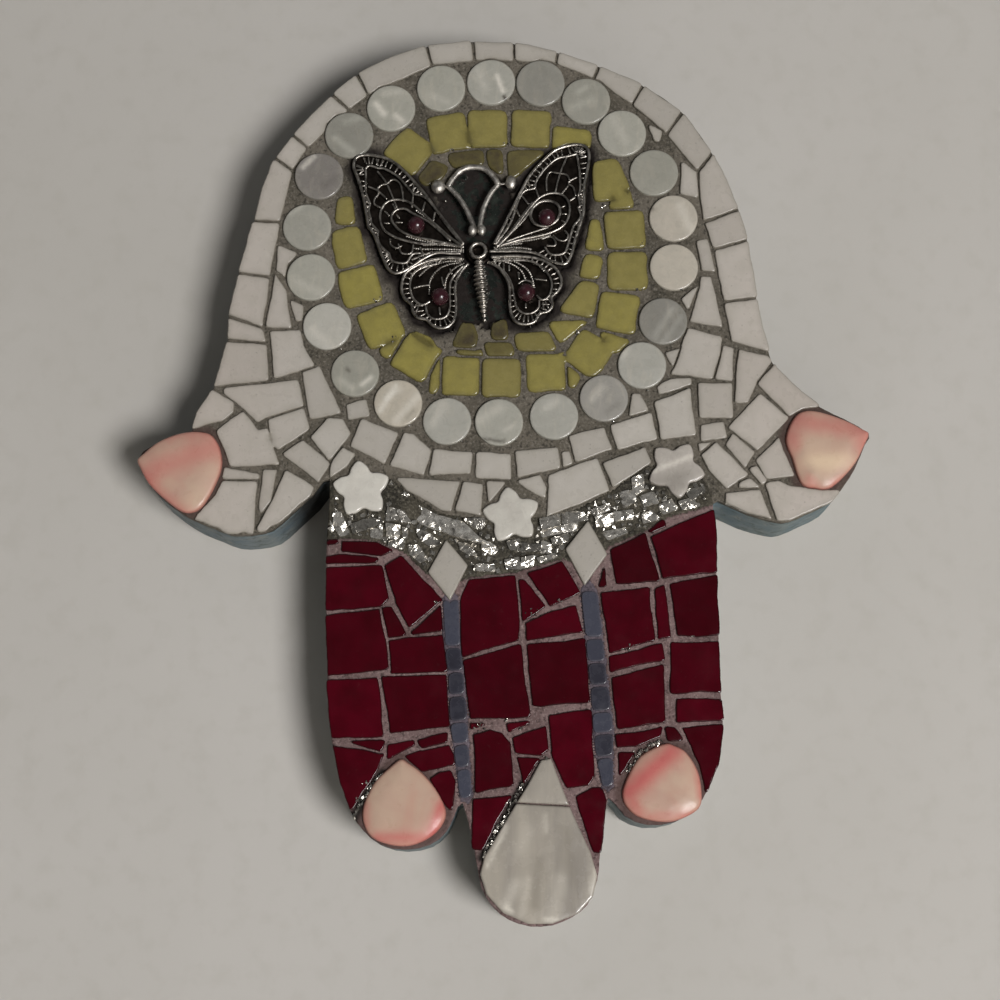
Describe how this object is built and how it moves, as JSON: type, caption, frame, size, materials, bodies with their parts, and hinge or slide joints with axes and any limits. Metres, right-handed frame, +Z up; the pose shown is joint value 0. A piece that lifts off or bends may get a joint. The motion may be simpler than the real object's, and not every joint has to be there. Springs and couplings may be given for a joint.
{
  "type": "mosaic hamsa wall plaque",
  "caption": "Hand-shaped wall plaque with white, green and red mosaic fields, a ring of shell discs, pink shell drops and an open-work metal butterfly.",
  "frame": {"origin": "on the flat back of the board, where it rests on the wall, midway across the picture's centre line and at half the plaque's height", "axes": "+Y out of the back, into the wall; +Z up along the plaque's height; +X to the right as the face is seen from the front"},
  "size_m": [0.1868, 0.023, 0.2315],
  "materials": {
    "white_tile": "satin off-white tile in grey-brown grout",
    "green_tile": "opaque olive glass in grey-brown grout",
    "red_tile": "glossy dark red opaque glass in mauve-grey grout",
    "blue_tile": "opaque slate-blue glass in pinkish-grey grout",
    "mirror_shard": "broken silver mirror with glitter",
    "dark_glass": "opaque green-black glass",
    "shell_disc": "pearly shell, satin",
    "bright_shell": "bright white shell",
    "pink_shell": "pink and cream pearly shell",
    "pearl_shell": "grey and cream banded shell",
    "old_silver": "aged silver, bright on its rims and dark in its hollows",
    "wine_pearl": "glossy wine-brown pearl",
    "board_paint": "brushed matt grey-blue paint"
  },
  "bodies": {
    "root": {"blue_strip_left": "blue_tile", "blue_strip_right": "blue_tile", "board": "board_paint", "butterfly": "old_silver", "dark_glass_lower": "dark_glass", "dark_glass_upper": "dark_glass", "diamond_1": "white_tile", "diamond_2": "white_tile", "disc_01": "shell_disc", "disc_02": "shell_disc", "disc_03": "shell_disc", "disc_04": "shell_disc", "disc_05": "shell_disc", "disc_06": "shell_disc", "disc_07": "shell_disc", "disc_08": "shell_disc", "disc_09": "shell_disc", "disc_10": "shell_disc", "disc_11": "shell_disc", "disc_12": "shell_disc", "disc_13": "shell_disc", "disc_14": "shell_disc", "disc_15": "shell_disc", "disc_16": "shell_disc", "disc_17": "shell_disc", "disc_18": "shell_disc", "disc_19": "shell_disc", "disc_20": "shell_disc", "disc_21": "shell_disc", "disc_22": "shell_disc", "drop_finger_left": "pink_shell", "drop_finger_right": "pink_shell", "drop_thumb_left": "pink_shell", "drop_thumb_right": "pink_shell", "green_mosaic": "green_tile", "mirror_band": "mirror_shard", "pear_body": "pearl_shell", "pear_tip": "pearl_shell", "pearl_1": "wine_pearl", "pearl_2": "wine_pearl", "pearl_3": "wine_pearl", "pearl_4": "wine_pearl", "red_left": "red_tile", "red_middle": "red_tile", "red_right": "red_tile", "star_1": "bright_shell", "star_2": "bright_shell", "star_3": "bright_shell", "white_mosaic": "white_tile"}
  },
  "joints": []
}
